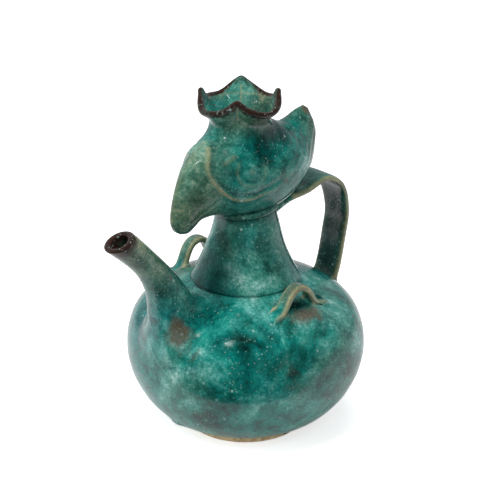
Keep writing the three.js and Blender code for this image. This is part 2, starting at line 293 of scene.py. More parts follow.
WAVE_ROOM = 0.35
foot_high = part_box("foot_disc")[1]
body_low, body_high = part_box("body_lower")
top_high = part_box("body_upper")[1]
neck_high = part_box("neck")[1]
BELLY_RADIUS = body_high.x / MM - WAVE_ROOM
BELLY_HEIGHT = body_high.z / MM
SHOULDER_HEIGHT = top_high.z / MM
SEAT_HEIGHT = body_low.z / MM
FOOT_RADIUS = foot_high.x / MM
WALL = 4.0
SHOULDER_RADIUS = 29.8
SEAT_RADIUS = 34.5
DRIP_ANGLE = math.radians(-2)
DRIP_HEIGHT = 11.0
DRIP_DEPTH = 2.0
OUTER_ROWS = 101
print("belly", round(BELLY_RADIUS, 1), "at", round(BELLY_HEIGHT, 1))


def belly_line():
    under = bezier([(SEAT_RADIUS, SEAT_HEIGHT), (SEAT_RADIUS + 8.5, SEAT_HEIGHT - 0.2),
                    (BELLY_RADIUS, BELLY_HEIGHT - 23.5), (BELLY_RADIUS, BELLY_HEIGHT)], 44)
    over = bezier([(BELLY_RADIUS, BELLY_HEIGHT), (BELLY_RADIUS, BELLY_HEIGHT + 29.2),
                   (SHOULDER_RADIUS + 9, SHOULDER_HEIGHT - 4.3), (SHOULDER_RADIUS, SHOULDER_HEIGHT)], 56)
    return np.concatenate([under, over[1:]])


def inner_line(outer, wall):
    step = np.gradient(outer, axis=0)
    step /= np.linalg.norm(step, axis=1)[:, None]
    return outer - np.stack([step[:, 1], -step[:, 0]], 1) * wall


outer_belly = belly_line()
inner_belly = inner_line(outer_belly, WALL)
keep = (inner_belly[:, 1] > SEAT_HEIGHT + 5.5) & (inner_belly[:, 0] > 25.6)
inside = inner_belly[keep][::-4]
rim = [(25.4, SHOULDER_HEIGHT), (25.4, inside[0][1])]
belly_profile = [(0.01, SEAT_HEIGHT), (20, SEAT_HEIGHT), *outer_belly, *rim, *inside]
belly_profile += [(30, SEAT_HEIGHT + 5), (0.01, SEAT_HEIGHT + 5)]


def with_drip(grid):
    """Adds the drop of glaze that set low on the belly, on the outer rows only."""
    aside = np.arctan2(grid[..., 1], grid[..., 0]) - DRIP_ANGLE
    radius = np.hypot(grid[..., 0], grid[..., 1])
    drop = np.exp(-(aside * radius / 4.5) ** 2 - ((grid[..., 2] - DRIP_HEIGHT) / 2.6) ** 2)
    row = np.arange(len(grid))
    drop *= ((row > 1) & (row < OUTER_ROWS))[:, None] * DRIP_DEPTH
    out = grid.copy()
    out[..., :2] *= (1 + drop / np.maximum(radius, 1))[..., None]
    return out


belly_grid = with_drip(turned_grid(belly_profile))
belly = skin("glazed_belly", belly_grid)
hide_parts("body_lower", "body_upper")

# %% [markdown]
# The neck is a hollow cone that stands on the shoulder. Its foot is not wiped smooth: a narrow groove
# runs round it where the glaze pools dark. The ring at its top slants up to the handle.

# %% Neck and collar
NECK_FOOT_RADIUS = neck_high.x / MM
NECK_TOP_RADIUS = 16.0
NECK_TOP = 123.2
COLLAR_RADIUS = 17.8
COLLAR_BAND = 3.0
COLLAR_TILT = math.radians(5.5)


def neck_line():
    t = np.linspace(0, 1, 46)[:, None]
    low = np.array([NECK_FOOT_RADIUS, SHOULDER_HEIGHT + 0.3])
    high = np.array([NECK_TOP_RADIUS, NECK_TOP])
    mid = np.array([(low[0] + high[0]) / 2 - 3.2, low[1] + 38.6 * 0.45])
    return (1 - t) ** 2 * low + 2 * (1 - t) * t * mid + t ** 2 * high


def slanted(grid, pivot_height):
    out = grid.copy()
    z = grid[..., 2] - pivot_height
    out[..., 0] = grid[..., 0] * math.cos(COLLAR_TILT) + z * math.sin(COLLAR_TILT)
    out[..., 2] = pivot_height - grid[..., 0] * math.sin(COLLAR_TILT) + z * math.cos(COLLAR_TILT)
    return out


cone = neck_line()
lip = [(cone[0][0] - 0.9, cone[0][1] - 0.25), (cone[0][0] - 0.25, cone[0][1] + 0.05)]
bore = inner_line(cone, WALL)[::-5]
neck_grid = turned_grid([*lip, *cone[1:], *bore, (25.6, SHOULDER_HEIGHT + 0.1)], waves=0.6)
share = np.clip((neck_grid[..., 2] - 104) / (NECK_TOP - 104), 0, 1)[..., None]
neck_grid = neck_grid * (1 - share) + slanted(neck_grid, NECK_TOP) * share
neck_faces = grid_faces(neck_grid.shape[0], neck_grid.shape[1], capped=False)
last = (neck_grid.shape[0] - 1) * neck_grid.shape[1]
for j in range(neck_grid.shape[1]):
    k = (j + 1) % neck_grid.shape[1]
    neck_faces.append((last + j, last + k, k, j))
neck = mesh_object("glazed_neck", neck_grid.reshape(-1, 3) * MM, neck_faces)
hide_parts("neck")


def ring_object(name, section):
    columns = 128
    angle = np.linspace(0, 2 * math.pi, columns, endpoint=False)
    rows = []
    for radius, height in section:
        r = radius + 0.18 * np.sin(3 * angle + 0.6) + 0.1 * np.sin(7 * angle)
        rows.append(np.stack([r * np.cos(angle), r * np.sin(angle), np.full(columns, height)], 1))
    grid = slanted(np.array(rows), NECK_TOP)
    faces = []
    total = len(section)
    for i in range(total):
        for j in range(columns):
            k = (j + 1) % columns
            n = (i + 1) % total
            faces.append((i * columns + j, i * columns + k, n * columns + k, n * columns + j))
    return mesh_object(name, grid.reshape(-1, 3) * MM, faces)


bead = []
collar_low = NECK_TOP + 0.3
collar_half = COLLAR_BAND / 2
for a in np.linspace(-math.pi / 2, math.pi / 2, 13):
    out, up = collar_half * math.cos(a), collar_half * math.sin(a)
    bead.append((COLLAR_RADIUS - collar_half + out, collar_low + collar_half + up))
bead += [(12.4, collar_low + COLLAR_BAND), (12.4, collar_low)]
collar = ring_object("glazed_collar", bead)
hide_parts("neck_collar")

# %% [markdown]
# The bird's head is the showpiece. It was pressed in two moulds and is hollow, because the wine runs
# through it. Its outline comes from two guide lines, the back of the skull and the throat, and each
# section between them is an oval. The relief is then pushed out along the skin.

# %% Head sections
HEAD_BACK = [(45.2, 120.5), (49.1, 123.6), (50.3, 131.2), (46.6, 145.5), (38.4, 158.6), (23.5, 168.4),
             (5, 172), (-13, 170.6), (-25, 165.2), (-30.5, 165.8), (-36, 169), (-41, 170.6)]
HEAD_THROAT = [(43.9, 120.4), (40.0, 120.7), (36.2, 122.5), (31, 125.2), (21.5, 125), (11.5, 120.6),
               (-1, 119.4), (-15, 122), (-30, 128.5), (-42.8, 138), (-48.6, 154.5), (-44.6, 167.8)]
CROWN_OFFSET = 4.0
HEAD_WIDTH = [0.8, 3.9, 5.2, 6.6, 11.2, 17.5, 22, 22.3, 17.5, 11, 5.5, 1.3]


def smooth_line(points, u):
    """A Catmull-Rom line through the points, at shares u of the way."""
    points = np.array(points, float)
    if points.ndim == 1:
        points = points[:, None]
    padded = np.concatenate([points[:1], points, points[-1:]])
    place = np.clip(u, 0, 1) * (len(points) - 1)
    i = np.minimum(place.astype(int), len(points) - 2)
    t = (place - i)[:, None]
    p0, p1, p2, p3 = padded[i], padded[i + 1], padded[i + 2], padded[i + 3]
    v0, v1 = (p2 - p0) / 2, (p3 - p1) / 2
    return (2 * p1 - 2 * p2 + v0 + v1) * t ** 3 + (-3 * p1 + 3 * p2 - 2 * v0 - v1) * t ** 2 + v0 * t + p1


def head_grid(rows=150, columns=144):
    u = np.linspace(0, 1, rows)
    back = smooth_line(HEAD_BACK, u)
    throat = smooth_line(HEAD_THROAT, u)
    width = np.maximum(smooth_line(HEAD_WIDTH, u)[:, 0], 0.6)
    angle = np.linspace(0, 2 * math.pi, columns, endpoint=False)
    middle, half = (back + throat) / 2, (back - throat) / 2
    rise = np.cos(angle)
    x = middle[:, None, 0] + half[:, None, 0] * rise
    z = middle[:, None, 1] + half[:, None, 1] * rise
    y = width[:, None] * np.sin(angle)
    return np.stack([x, y, z], -1)


head_points = head_grid()
print("head rows and columns", head_points.shape[:2])

# %% [markdown]
# The relief is drawn on the side of the head as a few lines in millimetres: the border of the cheek,
# the brow, a ring round the eye and the feathers of the nape. Each point of the skin looks up how
# far it lies from those lines and moves out or in by a rounded amount.

# %% Head relief
CHEEK = [(29.5, 165), (33.2, 158), (33.4, 152), (29.6, 145.5), (22.5, 138.4), (14.5, 136), (4.5, 138.2),
         (-6, 142)]
BROW = [(25.5, 157.4), (20, 160), (12.5, 161.2), (7.7, 163), (1.5, 164)]
EYE_CENTRE = (12.5, 151.6)
EYE_RADIUS = 7.6
RIDGE_HEIGHT = 0.8
GROOVE_DEPTH = 0.55


def line_distance(points, x, z):
    """Distance to a drawn line, and on which side of it each point lies."""
    line = smooth_line(points, np.linspace(0, 1, 90))
    gap = np.full(x.shape, 1e9)
    side = np.zeros(x.shape)
    for a, b in zip(line[:-1], line[1:]):
        step = b - a
        t = np.clip(((x - a[0]) * step[0] + (z - a[1]) * step[1]) / (step @ step), 0, 1)
        dx, dz = x - a[0] - t * step[0], z - a[1] - t * step[1]
        d = np.hypot(dx, dz)
        closer = d < gap
        gap = np.where(closer, d, gap)
        side = np.where(closer, np.sign(step[0] * dz - step[1] * dx), side)
    return gap, side


def bump(gap, width):
    return np.exp(-(gap / width) ** 2)


def head_relief(grid):
    x, y, z = grid[..., 0], grid[..., 1], grid[..., 2]
    flank = np.clip(np.abs(y) / 4 - 0.3, 0, 1)
    gap, side = line_distance(CHEEK, x, z)
    fade = np.clip((x + 10) / 14, 0, 1)
    lift = (RIDGE_HEIGHT * bump(gap, 1.2) - GROOVE_DEPTH * bump(gap - 2.4, 1.1) * (side < 0)) * fade
    gap, _ = line_distance(BROW, x, z)
    lift = lift + 0.45 * bump(gap, 1.4)
    eye = np.hypot(x - EYE_CENTRE[0], (z - EYE_CENTRE[1]) * 0.92)
    lift = lift + 0.3 * bump(eye - EYE_RADIUS, 1.1) - 0.22 * bump(eye - EYE_RADIUS + 2.2, 1.1)
    lift = lift + 0.4 * bump(eye, 2.6)
    nape = np.clip((-2 - x) / 12, 0, 1) * np.clip((z - 133) / 8, 0, 1)
    feather = np.sin((x * 0.62 + z * 0.78) * 1.25 + 1.2 * np.sin(z * 0.16 - x * 0.1))
    lift = lift + 0.12 * nape * feather
    lift = lift * flank
    culmen = np.clip((x - 26) / 10, 0, 1) * bump(y, 1.5)
    top = (z > 126).astype(float)
    lift = lift + 0.45 * culmen * top
    gape, _ = line_distance([(47, 126.6), (40, 127.4), (33, 131.5), (27.5, 137.5)], x, z)
    lift = lift - 0.32 * bump(gape, 0.8) * np.clip((x - 25) / 5, 0, 1)
    return lift


def grid_normals(grid):
    along = np.gradient(grid, axis=0)
    around = np.roll(grid, -1, 1) - np.roll(grid, 1, 1)
    normal = np.cross(around, along)
    normal /= np.maximum(np.linalg.norm(normal, axis=-1), 1e-9)[..., None]
    outward = ((grid - grid.mean(1)[:, None]) * normal).sum(-1).mean()
    return normal * (1 if outward > 0 else -1)


head_skin = head_points + grid_normals(head_points) * head_relief(head_points)[..., None]
head = skin("bird_head", head_skin)


def bore_out(piece, axis_x, radius, low, high):
    """Cuts an upright round hole, so that the mouth really opens into the head."""
    angle = np.linspace(0, 2 * math.pi, 64, endpoint=False)
    across, along = axis_x + radius * np.cos(angle), radius * np.sin(angle)
    rings = [np.stack([across, along, np.full(64, z)], 1) for z in (low, high)]
    plug = skin("plug", np.array(rings))
    cut = piece.modifiers.new("mouth", "BOOLEAN")
    cut.operation = "DIFFERENCE"
    cut.solver = "EXACT"
    cut.object = plug
    depsgraph = bpy.context.evaluated_depsgraph_get()
    mesh = bpy.data.meshes.new_from_object(piece.evaluated_get(depsgraph))
    piece.modifiers.clear()
    piece.data = mesh
    bpy.data.objects.remove(plug)


bore_out(head, CROWN_OFFSET, 13.4, 138, 182)
head_tree = tree_of(head_skin)
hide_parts("head_left_half", "head_right_half")
relief = head_relief(head_points)
print("relief from", round(float(relief.min()), 2), "to", round(float(relief.max()), 2))

# %% [markdown]
# The crown is a cup with four pointed lips, folded like a flower. Its wall is one grid that runs up
# the outside, rounds over the lip and down the throat. Folds run down from each point.

# %% Crown
CROWN_BASE = 172.4
WAIST_RADIUS = 15.6
LOBE_RADIUS = 23.2
TIP_RADIUS = 20.6
LOBE_HEIGHT = 182.2
TIP_HEIGHT = 191.0
CROWN_WALL = 2.7


def crown_sheet(share, angle):
    """The middle of the crown's wall."""
    lobe = np.sqrt(np.sin(2 * (angle - math.pi / 4)) ** 2 * 0.985 + 0.015)
    ruffle = np.sin(5 * angle + 1) * 0.35 + np.sin(11 * angle) * 0.2
    lip_radius = TIP_RADIUS + (LOBE_RADIUS - TIP_RADIUS) * lobe ** 0.9 + 0.3 * np.sin(6 * angle + 2)
    lip_height = LOBE_HEIGHT + (TIP_HEIGHT - LOBE_HEIGHT) * (1 - lobe) ** 1.15 + ruffle
    flare = max(share, 0.0) ** 1.6
    radius = WAIST_RADIUS + (lip_radius - WAIST_RADIUS) * flare - CROWN_WALL / 2
    radius = radius + 0.45 * (1 - lobe) ** 5 * flare
    height = CROWN_BASE + (lip_height - CROWN_WALL / 2 - CROWN_BASE) * share
    return np.stack([CROWN_OFFSET + radius * np.cos(angle), radius * np.sin(angle), height], 1)


def crown_frame(share, angle):
    """A ring of the sheet with its outward normals and its upward directions."""
    ring = crown_sheet(share, angle)
    up = crown_sheet(share + 0.01, angle) - crown_sheet(share - 0.01, angle)
    around = np.roll(ring, -1, 0) - np.roll(ring, 1, 0)
    up /= np.linalg.norm(up, axis=1)[:, None]
    out = np.cross(around, up)
    out /= np.linalg.norm(out, axis=1)[:, None]
    return ring, out, up


def half_wall(share):
    return (CROWN_WALL + 0.5 * share ** 3) / 2


def crown_grid(columns=192):
    angle = np.linspace(0, 2 * math.pi, columns, endpoint=False)
    outside, inside = [], []
    for share in np.linspace(0.02, 1, 24):
        ring, out, up = crown_frame(share, angle)
        outside.append(ring + out * half_wall(share))
        inside.append(ring - out * half_wall(share))
    over = []
    for a in np.linspace(0.3, math.pi - 0.3, 9):
        over.append(ring + (out * math.cos(a) + up * math.sin(a)) * half_wall(1))
    skirt = [outside[0] - np.array([0, 0, d]) for d in (20, 16, 12, 8, 4)]
    throat = [inside[0] - np.array([0, 0, d]) for d in (4, 9, 14, 22, 30)]
    return np.array([*skirt, *outside, *over, *inside[::-1], *throat])


crown_points = rooted(crown_grid(), head_tree, 5.5, ["start"], rows=90)
crown = skin("crown_mouth_cup", crown_points)
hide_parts("crown_mouth")

# %% [markdown]
# The spout was rolled round a stick, bent, and pressed onto the shoulder over its hole. The same grid
# runs up the outside, over the lip and down the bore.

# %% Spout
SPOUT_PATH = [(47, 64), (53, 88), (56.2, 102.6), (85.2, 127.6)]
SPOUT_RADIUS = [16.2, 12.96, 9.5, 7.3, 7.6]
SPOUT_TILT = math.radians(24)
BORE_RADIUS = 4.4


def spout_grid(columns=64):
    u = np.linspace(0, 1, 60)
    path = bezier(SPOUT_PATH, 60)
    step = np.gradient(path, axis=0)
    step /= np.linalg.norm(step, axis=1)[:, None]
    radius = smooth_line(SPOUT_RADIUS, u)[:, 0]
    angle = np.linspace(0, 2 * math.pi, columns, endpoint=False)
    tilt = np.clip((u - 0.8) / 0.2, 0, 1) ** 2
    cut = np.array([math.cos(SPOUT_TILT), -math.sin(SPOUT_TILT)])
    rings = []

    def ring(i, r, rise=0.0):
        across = np.array([step[i, 1], -step[i, 0]])
        slope = across * (1 - tilt[i]) + cut * tilt[i]
        slope /= max(across @ slope, 0.5)
        side = np.cos(angle)[:, None] * slope * r
        lift = step[i] * rise
        x = path[i, 0] + side[:, 0] + lift[0]
        z = path[i, 1] + side[:, 1] + lift[1]
        return np.stack([x, r * np.sin(angle), z], 1)

    for share in np.linspace(1, 0.12, 8):
        root = ring(0, radius[0] * (1 - 0.55 * share ** 1.5))
        rings.append(root - np.array([7, 0, 15]) * share)
    rings += [ring(i, radius[i]) for i in range(59)]
    thick = (radius[-1] - BORE_RADIUS) / 2
    for a in np.linspace(0, math.pi, 9):
        rings.append(ring(59, radius[-1] - thick * (1 - math.cos(a)), 0.9 * math.sin(a) - 0.9))
    rings += [ring(i, BORE_RADIUS + (59 - i) * 0.05) for i in range(57, 24, -4)]
    return np.array(rings)


belly_tree = tree_of(belly_grid[:OUTER_ROWS + 1])
spout = skin("spout_tube", rooted(spout_grid(), belly_tree, 9.0, ["start"], rows=84))
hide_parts("spout")

# %% [markdown]
# The handle is a flat strap of clay, bent while soft and pressed down at both ends. The lugs are the
# same thing at a smaller size. Their rounded edges catch the light where the glaze runs thin.

# %% Straps
STRAP_PATH = [(-10, 120), (-22, 124.5), (-36, 126), (-51, 129.2), (-63.2, 121.2), (-67.8, 105.2),
              (-65.8, 91.2), (-62, 74), (-56.5, 60)]
STRAP_THICK = 4.3


def strap_grid(points, width_at, thickness, across, channel=-0.5, rows=80, columns=48):
    u = np.linspace(0, 1, rows)
    path = smooth_line(points, u)
    step = np.gradient(path, axis=0)
    step /= np.linalg.norm(step, axis=1)[:, None]
    angle = np.linspace(0, 2 * math.pi, columns, endpoint=False)
    square = 0.55
    side = np.sign(np.cos(angle)) * np.abs(np.cos(angle)) ** square
    lift = np.sign(np.sin(angle)) * np.abs(np.sin(angle)) ** square
    rings = []
    for i in range(rows):
        half = width_at(u[i]) / 2
        n = lift * thickness / 2 + channel * (1 - side ** 2) * np.maximum(lift, 0)
        x, z = path[i, 0] - step[i, 1] * n, path[i, 1] + step[i, 0] * n
        rings.append(np.stack([x, across + half * side, z], 1))
    return np.array(rings)


def strap_width(u):
    t = min(max((u - 0.35) / 0.35, 0), 1)
    return 21.6 + (17.2 - 21.6) * t * t * (3 - 2 * t)


handle_grid = strap_grid(STRAP_PATH, strap_width, STRAP_THICK - 0.4, 0)
handle = skin("strap_handle", rooted(handle_grid, belly_tree, 5.0, ["stop"], rows=90))
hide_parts("handle")

LUG_SPAN = 35.0
LUG_OFFSET = 40.0
LUG_SEAT = SHOULDER_HEIGHT - 6.4


def lug_path(arch):
    half = [(0.17, arch - 3), (0.33, LUG_SEAT + 1.4), (0.5, LUG_SEAT - 0.6), (0.57, LUG_SEAT - 6)]
    right = [(LUG_SPAN * share, height) for share, height in half]
    return [*[(-x, z) for x, z in right[::-1]], (0, arch), *right]


def lug_width(u):
    return 7.2 + 3.2 * min(1.0, 2.1 * abs(u - 0.5)) ** 3


for name, side, arch in (("lug_left", 1, 90.4), ("lug_right", -1, 92.9)):
    grid = strap_grid(lug_path(arch), lug_width, 3.3, side * LUG_OFFSET, channel=0.3, rows=70, columns=32)
    piece = skin("pinched_" + name, rooted(grid, belly_tree, 1.7, ["start", "stop"], rows=70))
    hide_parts(name)

# %% [markdown]
# The foot was wiped clean before firing, so its buff clay shows. Its edge is a little worn and its
# side is gently uneven.

# %% Foot
foot_line = [(0.01, 0), (30.6, 0), (31.3, 0.2), (31.8, 0.8), (32, 1.6), (31.9, 3.4), (32.1, 5.2)]
foot_line += [(32.6, 5.6), (0.01, 5.6)]
foot_grid = turned_grid(foot_line, waves=0.0)
foot = skin("clay_foot", foot_grid)
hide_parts("foot_disc")

# %% [markdown]
# The glaze is a runny lead glaze coloured with copper. It is thick and dark where it pools, thin and
# pale on edges, and mottled everywhere between, because it was brushed on in patches. The same dark
# pool colour is also used as painted shade in creases, under parts and inside hollows. The colour is
# one node group, used by every glazed piece, so the mottling runs on across the joints.

# %% Glaze colour group


def add_socket(group, name, kind, way, value=None):
    socket = group.interface.new_socket(name, in_out=way, socket_type=kind)
    if value is not None:
        socket.default_value = value
    return socket


def red_of(nodes, links, socket):
    node = nodes.new("ShaderNodeSeparateColor")
    links.new(socket, node.inputs["Color"])
    return node.outputs["Red"]


def glaze_group():
    group = bpy.data.node_groups.new("lead_glaze", "ShaderNodeTree")
    add_socket(group, "Mottle scale", "NodeSocketFloat", "INPUT", 26.0)
    add_socket(group, "Speck amount", "NodeSocketFloat", "INPUT", 0.6)
    add_socket(group, "Brown", "NodeSocketFloat", "INPUT", 0.0)
    add_socket(group, "Thin", "NodeSocketFloat", "INPUT", 0.0)
    add_socket(group, "Rim", "NodeSocketFloat", "INPUT", 0.0)
    add_socket(group, "Olive", "NodeSocketFloat", "INPUT", 0.0)
    add_socket(group, "Pool and painted shade", "NodeSocketFloat", "INPUT", 0.0)
    add_socket(group, "Colour", "NodeSocketColor", "OUTPUT")
    add_socket(group, "Roughness", "NodeSocketFloat", "OUTPUT")
    add_socket(group, "Height", "NodeSocketFloat", "OUTPUT")
    nodes, links = group.nodes, group.links
    inputs = nodes.new("NodeGroupInput")
    outputs = nodes.new("NodeGroupOutput")
    place = nodes.new("ShaderNodeTexCoord")

    def noise(scale, detail, rough, distortion=0.0, seed_shift=0.3):
        node = nodes.new("ShaderNodeTexNoise")
        node.inputs["Scale"].default_value = scale
        node.inputs["Detail"].default_value = detail
        node.inputs["Roughness"].default_value = rough
        node.inputs["Distortion"].default_value = distortion
        shift = nodes.new("ShaderNodeMapping")
        shift.inputs["Location"].default_value = (seed_shift, seed_shift * 0.7, -seed_shift)
        links.new(place.outputs["Object"], shift.inputs["Vector"])
        links.new(shift.outputs["Vector"], node.inputs["Vector"])
        return node

    def ramp(source, stops):
        node = nodes.new("ShaderNodeValToRGB")
        elements = node.color_ramp.elements
        while len(elements) < len(stops):
            elements.new(0.5)
        for element, (spot, colour) in zip(elements, stops):
            element.position = spot
            element.color = (*colour, 1)
        links.new(source, node.inputs["Fac"])
        return node

    def mix(kind, factor, first, second):
        node = nodes.new("ShaderNodeMix")
        node.data_type = "RGBA"
        node.blend_type = kind
        if isinstance(factor, float):
            node.inputs["Factor"].default_value = factor
        else:
            links.new(factor, node.inputs["Factor"])
        for value, socket in ((first, node.inputs["A"]), (second, node.inputs["B"])):
            if isinstance(value, tuple):
                socket.default_value = (*value, 1)
            else:
                links.new(value, socket)
        return node.outputs["Result"]

    def maths(kind, first, second=None, clamp=False):
        node = nodes.new("ShaderNodeMath")
        node.operation = kind
        node.use_clamp = clamp
        for i, value in enumerate((first, second)):
            if value is None:
                continue
            if isinstance(value, (int, float)):
                node.inputs[i].default_value = value
            else:
                links.new(value, node.inputs[i])
        return node.outputs[0]

    patches = noise(26, 6, 0.68, 0.5)
    links.new(inputs.outputs["Mottle scale"], patches.inputs["Scale"])
    base = ramp(patches.outputs["Fac"], [
        (0.33, (0.000, 0.036, 0.031)),
        (0.42, (0.000, 0.104, 0.088)),
        (0.50, (0.008, 0.185, 0.152)),
        (0.57, (0.050, 0.275, 0.238)),
        (0.67, (0.200, 0.490, 0.455)),
    ]).outputs["Color"]
    blue = noise(11, 3, 0.55, 0.3, 9.1)
    blue_mask = ramp(blue.outputs["Fac"], [(0.47, (0, 0, 0)), (0.66, (1, 1, 1))]).outputs["Color"]
    colour = mix("MIX", maths("MULTIPLY", blue_mask, 0.55), base, (0.000, 0.140, 0.158))
    olive = noise(17, 4, 0.6, 0.3, 3.1)
    olive_mask = ramp(olive.outputs["Fac"], [(0.46, (0, 0, 0)), (0.68, (1, 1, 1))]).outputs["Color"]
    olive_share = maths("ADD", maths("MULTIPLY", olive_mask, 0.4), inputs.outputs["Olive"], True)
    olive_tone = mix("MIX", patches.outputs["Fac"], (0.020, 0.085, 0.045), (0.20, 0.27, 0.16))
    colour = mix("MIX", olive_share, colour, olive_tone)
    middle = noise(90, 4, 0.65, 0.2, 4.4)
    cloud_stops = [(0.36, (0.4, 0.52, 0.52)), (0.5, (1, 1, 1)), (0.64, (1.9, 1.35, 1.35))]
    clouds = ramp(middle.outputs["Fac"], cloud_stops).outputs["Color"]
    colour = mix("MULTIPLY", 1.0, colour, clouds)
    fine = noise(620, 6, 0.8, 0.0, 1.7)
    grain_stops = [(0.34, (0.35, 0.58, 0.57)), (0.5, (1, 1, 1)), (0.66, (2.6, 1.5, 1.5))]
    grain = ramp(fine.outputs["Fac"], grain_stops).outputs["Color"]
    colour = mix("MULTIPLY", 1.0, colour, grain)
    soft_grain = mix("MIX", 0.6, grain, (1.0, 1.0, 1.0))
    rust = noise(24, 6, 0.75, 0.3, 7.7)
    rust_mask = ramp(rust.outputs["Fac"], [(0.64, (0, 0, 0)), (0.74, (1, 1, 1))]).outputs["Color"]
    bare = maths("ADD", inputs.outputs["Brown"], maths("MULTIPLY", rust.outputs["Fac"], 3.2))
    bare = maths("MULTIPLY", maths("SUBTRACT", bare, 2.12), 1.7, True)
    edge = maths("MULTIPLY", bare, maths("MULTIPLY", inputs.outputs["Brown"], 3.0, True))
    edge = maths("MULTIPLY", edge, 0.8, True)
    rust_share = maths("ADD", maths("MULTIPLY", rust_mask, 0.35), edge, True)
    colour = mix("MIX", rust_share, colour, mix("MULTIPLY", 1.0, (0.098, 0.064, 0.040), soft_grain))
    rim_tone = mix("MULTIPLY", 1.0, (0.026, 0.014, 0.010), soft_grain)
    colour = mix("MIX", inputs.outputs["Rim"], colour, rim_tone)
    pale = mix("MULTIPLY", 1.0, (0.31, 0.31, 0.17), soft_grain)
    uneven = maths("MULTIPLY", middle.outputs["Fac"], 1.7)
    thin_share = maths("MULTIPLY", inputs.outputs["Thin"], uneven, True)
    colour = mix("MIX", thin_share, colour, pale)
    # Near-black pool colour: real dark glaze where it pools in grooves, and painted shade where the mask
    # marks creases, undersides and hollows.
    pool_and_shade_share = maths("MULTIPLY", inputs.outputs["Pool and painted shade"], 0.9, True)
    colour = mix("MIX", pool_and_shade_share, colour, (0.002, 0.018, 0.017))
    speck = None
    bubbles = ((520, 0.26, 0.80, 0.55), (230, 0.22, 0.90, 0.8), (700, 0.30, 0.72, 0.4))
    for scale, size, rarity, share in bubbles:
        cells = nodes.new("ShaderNodeTexVoronoi")
        cells.inputs["Scale"].default_value = scale
        links.new(place.outputs["Object"], cells.inputs["Vector"])
        dot = maths("MULTIPLY", maths("SUBTRACT", size, cells.outputs["Distance"]), 9.0, True)
        chosen = maths("GREATER_THAN", red_of(nodes, links, cells.outputs["Color"]), rarity)
        layer = maths("MULTIPLY", maths("MULTIPLY", dot, chosen), share)
        speck = layer if speck is None else maths("MAXIMUM", speck, layer)
    cluster = noise(30, 3, 0.6, 0.0, 5.0)
    cluster_stops = [(0.38, (0.08, 0.08, 0.08)), (0.58, (1, 1, 1))]
    cluster_mask = ramp(cluster.outputs["Fac"], cluster_stops).outputs["Color"]
    speck = maths("MULTIPLY", maths("MULTIPLY", speck, cluster_mask), inputs.outputs["Speck amount"], True)
    colour = mix("MIX", speck, colour, (0.36, 0.56, 0.53))
    pins = nodes.new("ShaderNodeTexVoronoi")
    pins.inputs["Scale"].default_value = 120
    links.new(place.outputs["Object"], pins.inputs["Vector"])
    pin = maths("MULTIPLY", maths("LESS_THAN", pins.outputs["Distance"], 0.085),
                maths("GREATER_THAN", red_of(nodes, links, pins.outputs["Color"]), 0.8))
    colour = mix("MIX", pin, colour, (0.16, 0.045, 0.02))
    rough = maths("ADD", maths("MULTIPLY", fine.outputs["Fac"], 0.10), 0.04)
    rough = maths("ADD", rough, maths("MULTIPLY", rust_share, 0.2))
    height = maths("MULTIPLY", patches.outputs["Fac"], 1.1)
    height = maths("ADD", height, maths("MULTIPLY", fine.outputs["Fac"], 0.12))
    height = maths("ADD", height, maths("MULTIPLY", middle.outputs["Fac"], 0.45))
    height = maths("SUBTRACT", height, maths("MULTIPLY", maths("ADD", speck, pin), 0.2))
    links.new(colour, outputs.inputs["Colour"])
    links.new(rough, outputs.inputs["Roughness"])
    links.new(height, outputs.inputs["Height"])
    return group


lead_glaze = glaze_group()
print("glaze group nodes", len(lead_glaze.nodes))

# %% [markdown]
# Where the glaze runs off a lip it turns dark brown, and at the joints the clay shows through in rusty
# patches. Each piece carries that as a painted value on its points, worked out from distances, and
# the material reads it by name. The pool value darkens real pools of glaze in grooves, and it also
# paints shade: between the spout and the neck, under the head, the lugs and the handle, on the
# handle's inner face and deep in the mouth.

# %% Painted masks and the glaze material


def paint(piece, name, rule):
    mesh = piece.data
    points = np.zeros(len(mesh.vertices) * 3)
    mesh.vertices.foreach_get("co", points)
    values = np.clip(rule(points.reshape(-1, 3) / MM), 0, 1)
    layer = mesh.attributes.new(name, "FLOAT", "POINT")
    layer.data.foreach_set("value", values.astype(np.float32))
    return float(values.mean())


def glaze_material(name, mottle, specks):
    material = bpy.data.materials.new(name)
    material.use_nodes = True
    nodes, links = material.node_tree.nodes, material.node_tree.links
    shader = nodes["Principled BSDF"]
    glaze = nodes.new("ShaderNodeGroup")
    glaze.node_tree = lead_glaze
    glaze.inputs["Mottle scale"].default_value = mottle
    glaze.inputs["Speck amount"].default_value = specks
    for attribute, socket in (("brown", "Brown"), ("thin", "Thin"), ("rim", "Rim"), ("olive", "Olive"),
                              ("pool_and_painted_shade", "Pool and painted shade")):
        node = nodes.new("ShaderNodeAttribute")
        node.attribute_name = attribute
        links.new(node.outputs["Fac"], glaze.inputs[socket])
    bump_node = nodes.new("ShaderNodeBump")
    bump_node.inputs["Strength"].default_value = 0.55
    bump_node.inputs["Distance"].default_value = 0.0006
    links.new(glaze.outputs["Colour"], shader.inputs["Base Color"])
    links.new(glaze.outputs["Roughness"], shader.inputs["Roughness"])
    links.new(glaze.outputs["Height"], bump_node.inputs["Height"])
    links.new(bump_node.outputs["Normal"], shader.inputs["Normal"])
    shader.inputs["IOR"].default_value = 1.55
    shader.inputs["Specular IOR Level"].default_value = 0.5
    return material


def nothing(p):
    return np.zeros(len(p))


crown_lip = crown_sheet(1.0, np.linspace(0, 2 * math.pi, 240, endpoint=False))


